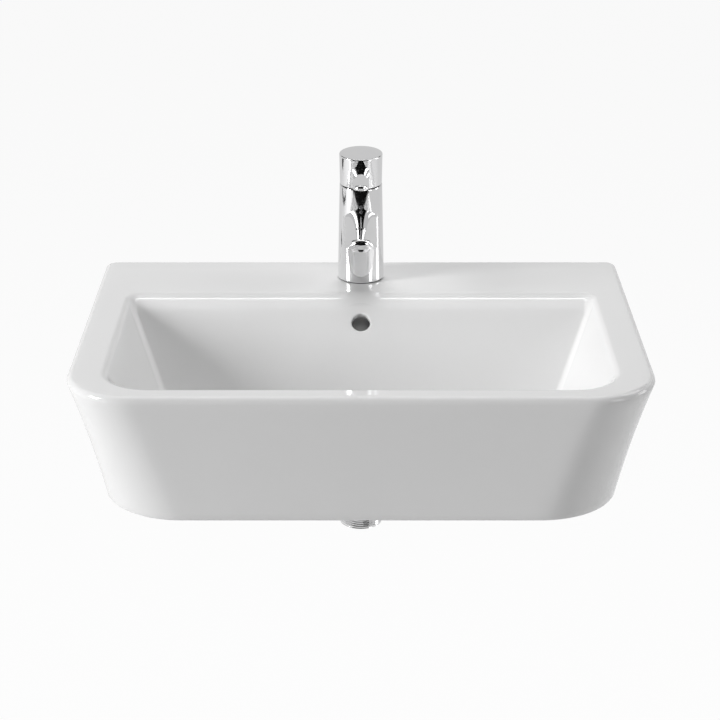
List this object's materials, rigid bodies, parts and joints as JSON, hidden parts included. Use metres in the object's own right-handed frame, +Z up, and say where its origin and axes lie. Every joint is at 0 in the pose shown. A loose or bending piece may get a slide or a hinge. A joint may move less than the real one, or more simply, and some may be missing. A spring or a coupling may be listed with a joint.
{
  "type": "semi-recessed washbasin with mixer tap",
  "caption": "White ceramic semi-recessed washbasin with a chromed single-lever mixer tap, an overflow and a click-action waste.",
  "frame": {"origin": "on the counter surface that the rim rests on, on the centre line, in the middle of the 20 mm rear ledge", "axes": "+X to the user's right, -Y towards the user, +Z up"},
  "size_m": [0.56, 0.4, 0.3272],
  "materials": {
    "ceramic": "gloss",
    "chrome": "polished",
    "brass": "machined",
    "steel": "satin",
    "rubber": "matte",
    "plastic": "matte",
    "marker": "gloss",
    "disc": "polished"
  },
  "bodies": {
    "basin": {"basin_body": "ceramic", "waste_body": "chrome", "waste_flange_seal": "rubber", "waste_lower_seal": "rubber", "waste_slip_washer": "plastic", "waste_backnut": "brass", "waste_crossbar": "brass", "plug_sleeve": "brass", "tap_body": "chrome", "tap_marker": "marker", "tap_base_seal": "rubber", "tap_deck_gasket": "rubber", "tap_clamp_plate": "steel", "tap_stud": "brass", "tap_fixing_nut": "brass", "cartridge_base": "plastic", "cartridge_port_seals": "rubber", "cartridge_fixed_disc": "disc", "cartridge_housing": "plastic", "cartridge_nut": "brass", "cartridge_cover": "chrome", "aerator_housing": "chrome", "aerator_seal": "rubber", "aerator_insert": "plastic"},
    "swing": {"cartridge_carrier": "plastic", "pivot_pin": "steel"},
    "handle": {"handle": "chrome", "spindle": "brass", "handle_screw": "steel", "handle_screw_cover": "marker"},
    "moving_disc": {"cartridge_moving_disc": "disc", "cartridge_coupler": "plastic"},
    "plug": {"plug_cap": "chrome", "plug_seal": "rubber", "plug_stem": "brass"}
  },
  "joints": [
    {"name": "temperature_swing", "type": "hinge", "parent": "basin", "child": "swing", "pos_m": [0, -0.0435, 0.119], "axis": [0, -0.0785, 0.9969], "range_deg": [-45, 45]},
    {"name": "flow_lift", "type": "hinge", "parent": "swing", "child": "handle", "pos_m": [0, -0.0435, 0.119], "axis": [-1, 0, 0], "range_deg": [0, 20]},
    {"name": "disc_slide", "type": "slide", "parent": "swing", "child": "moving_disc", "axis": [0, -0.9969, -0.0785], "range_m": [0, 0.00595]},
    {"name": "plug_lift", "type": "slide", "parent": "basin", "child": "plug", "axis": [0, 0, 1], "range_m": [0, 0.009]}
  ],
  "couplings": [
    {"joint": "disc_slide", "follows": "flow_lift", "m_per_rad": 0.016914}
  ]
}
